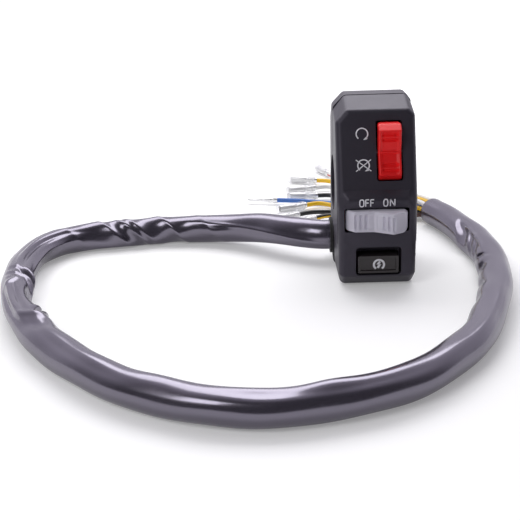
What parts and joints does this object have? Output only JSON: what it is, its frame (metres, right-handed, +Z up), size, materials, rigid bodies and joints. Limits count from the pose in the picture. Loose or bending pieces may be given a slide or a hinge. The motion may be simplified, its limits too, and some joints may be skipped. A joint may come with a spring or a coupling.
{
  "type": "handlebar switch cluster",
  "caption": "Split clamp housing for a handlebar with an engine-stop rocker, a light rocker, a start button and a sleeved wiring loom ending in loose terminals.",
  "frame": {"origin": "centre of the handlebar bore, half way along the housing", "axes": "+X along the handlebar to the rider's right, +Y away from the thumb face, +Z up"},
  "size_m": [0.2008, 0.2851, 0.071],
  "materials": {
    "housing_plastic": "fine moulded texture, satin",
    "red_plastic": "semi-gloss, through-coloured",
    "grey_plastic": "semi-gloss, through-coloured",
    "black_plastic": "semi-gloss",
    "zinc_steel": "bright zinc plate",
    "pin_steel": "ground",
    "spring_steel": "drawn wire",
    "brass": "turned",
    "bronze": "rolled strip",
    "board": "laminated board",
    "plunger_nylon": "moulded nylon",
    "grommet_rubber": "moulded rubber",
    "tie_nylon": "moulded nylon",
    "sleeve_pvc": "glossy soft vinyl",
    "lead_red": "vinyl insulation",
    "lead_blue": "vinyl insulation",
    "lead_yellow": "vinyl insulation",
    "wire_white_red": "vinyl insulation with a red stripe",
    "wire_yellow": "vinyl insulation",
    "wire_white": "vinyl insulation",
    "wire_black": "vinyl insulation",
    "wire_blue": "vinyl insulation",
    "wire_black_yellow": "vinyl insulation with a yellow stripe",
    "wire_brown": "vinyl insulation",
    "tinned_brass": "tin plate",
    "clear_vinyl": "soft clear vinyl"
  },
  "bodies": {
    "housing": {"front_housing": "housing_plastic", "rear_housing": "housing_plastic", "clamp_screws": "zinc_steel", "clamp_inserts": "brass", "kill_pivot_pins": "pin_steel", "kill_contacts": "brass", "kill_base": "board", "kill_base_screws": "zinc_steel", "light_pivot_pins": "pin_steel", "light_contacts": "brass", "light_base": "board", "light_base_screws": "zinc_steel", "start_return_spring": "spring_steel", "start_contacts": "brass", "start_base": "board", "start_base_screws": "zinc_steel", "loom_grommet": "grommet_rubber", "loom_tie": "tie_nylon", "loom_sleeve": "sleeve_pvc", "kill_leads": "lead_red", "light_leads": "lead_blue", "start_leads": "lead_yellow", "wire_white_red": "wire_white_red", "wire_yellow_upper": "wire_yellow", "wire_white": "wire_white", "wire_black": "wire_black", "wire_blue": "wire_blue", "wire_yellow_lower": "wire_yellow", "wire_black_lower": "wire_black", "wire_black_yellow": "wire_black_yellow", "wire_brown": "wire_brown", "socket_terminals": "tinned_brass", "pin_terminal": "tinned_brass", "terminal_sleeves": "clear_vinyl"},
    "kill_rocker": {"kill_rocker": "red_plastic", "kill_plunger": "plunger_nylon", "kill_detent_spring": "spring_steel"},
    "kill_blade": {"kill_contact_blade": "bronze"},
    "light_rocker": {"light_rocker": "grey_plastic", "light_plunger": "plunger_nylon", "light_detent_spring": "spring_steel"},
    "light_blade": {"light_contact_blade": "bronze"},
    "start_button": {"start_button": "black_plastic", "start_bridge": "bronze"}
  },
  "joints": [
    {"name": "kill_rock", "type": "hinge", "parent": "housing", "child": "kill_rocker", "pos_m": [0.005, -0.01639, 0.01638], "axis": [-1, 0, 0], "range_deg": [0, 24]},
    {"name": "kill_blade_tip", "type": "hinge", "parent": "housing", "child": "kill_blade", "pos_m": [0.005, -0.01188, 0.01474], "axis": [-1, 0, 0], "range_deg": [-16, 0]},
    {"name": "light_rock", "type": "hinge", "parent": "housing", "child": "light_rocker", "pos_m": [-0.0004, -0.0246, -0.0078], "axis": [0, 0, 1], "range_deg": [0, 24]},
    {"name": "light_blade_tip", "type": "hinge", "parent": "housing", "child": "light_blade", "pos_m": [-0.0004, -0.0198, -0.0078], "axis": [0, 0, 1], "range_deg": [-16, 0]},
    {"name": "start_press", "type": "slide", "parent": "housing", "child": "start_button", "axis": [0, 1, 0], "range_m": [0, 0.0022], "stiffness_N_per_m": 400, "springref_m": -0.003, "deforming": ["start_return_spring"]}
  ],
  "couplings": [
    {"joint": "kill_blade_tip", "follows": "kill_rock", "ratio": -0.66667},
    {"joint": "light_blade_tip", "follows": "light_rock", "ratio": -0.66667}
  ]
}
